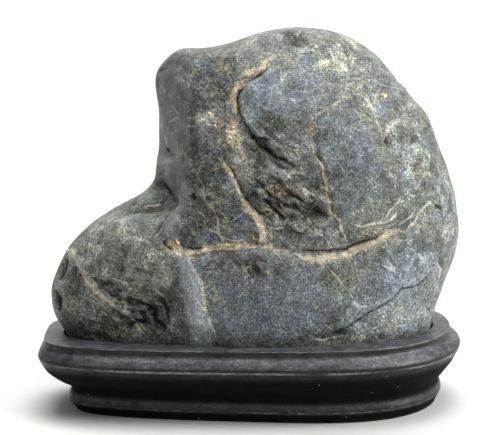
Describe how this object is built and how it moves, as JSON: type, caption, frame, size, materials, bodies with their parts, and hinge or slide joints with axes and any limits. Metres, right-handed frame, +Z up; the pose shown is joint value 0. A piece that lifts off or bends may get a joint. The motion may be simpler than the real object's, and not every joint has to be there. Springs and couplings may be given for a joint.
{
  "type": "scholars rock",
  "caption": "Grey-green viewing stone with a domed body, a head and a low toe, veined and creased, seated in a dark carved and moulded wooden stand.",
  "frame": {"origin": "middle of the stand's flat underside, which is the middle of the underside of the whole object's box", "axes": "+X to the right along the long side, the toe of the stone at -X and its dome at +X; +Y from the front to the back; +Z up"},
  "size_m": [0.262, 0.1454, 0.2311],
  "materials": {
    "stone": "water-worn, satin, salt-and-pepper grain with cream and rust-coloured veins",
    "stand": "black lacquer, satin, worn pale along the edges"
  },
  "bodies": {
    "root": {"stone": "stone", "stand": "stand"}
  },
  "joints": []
}
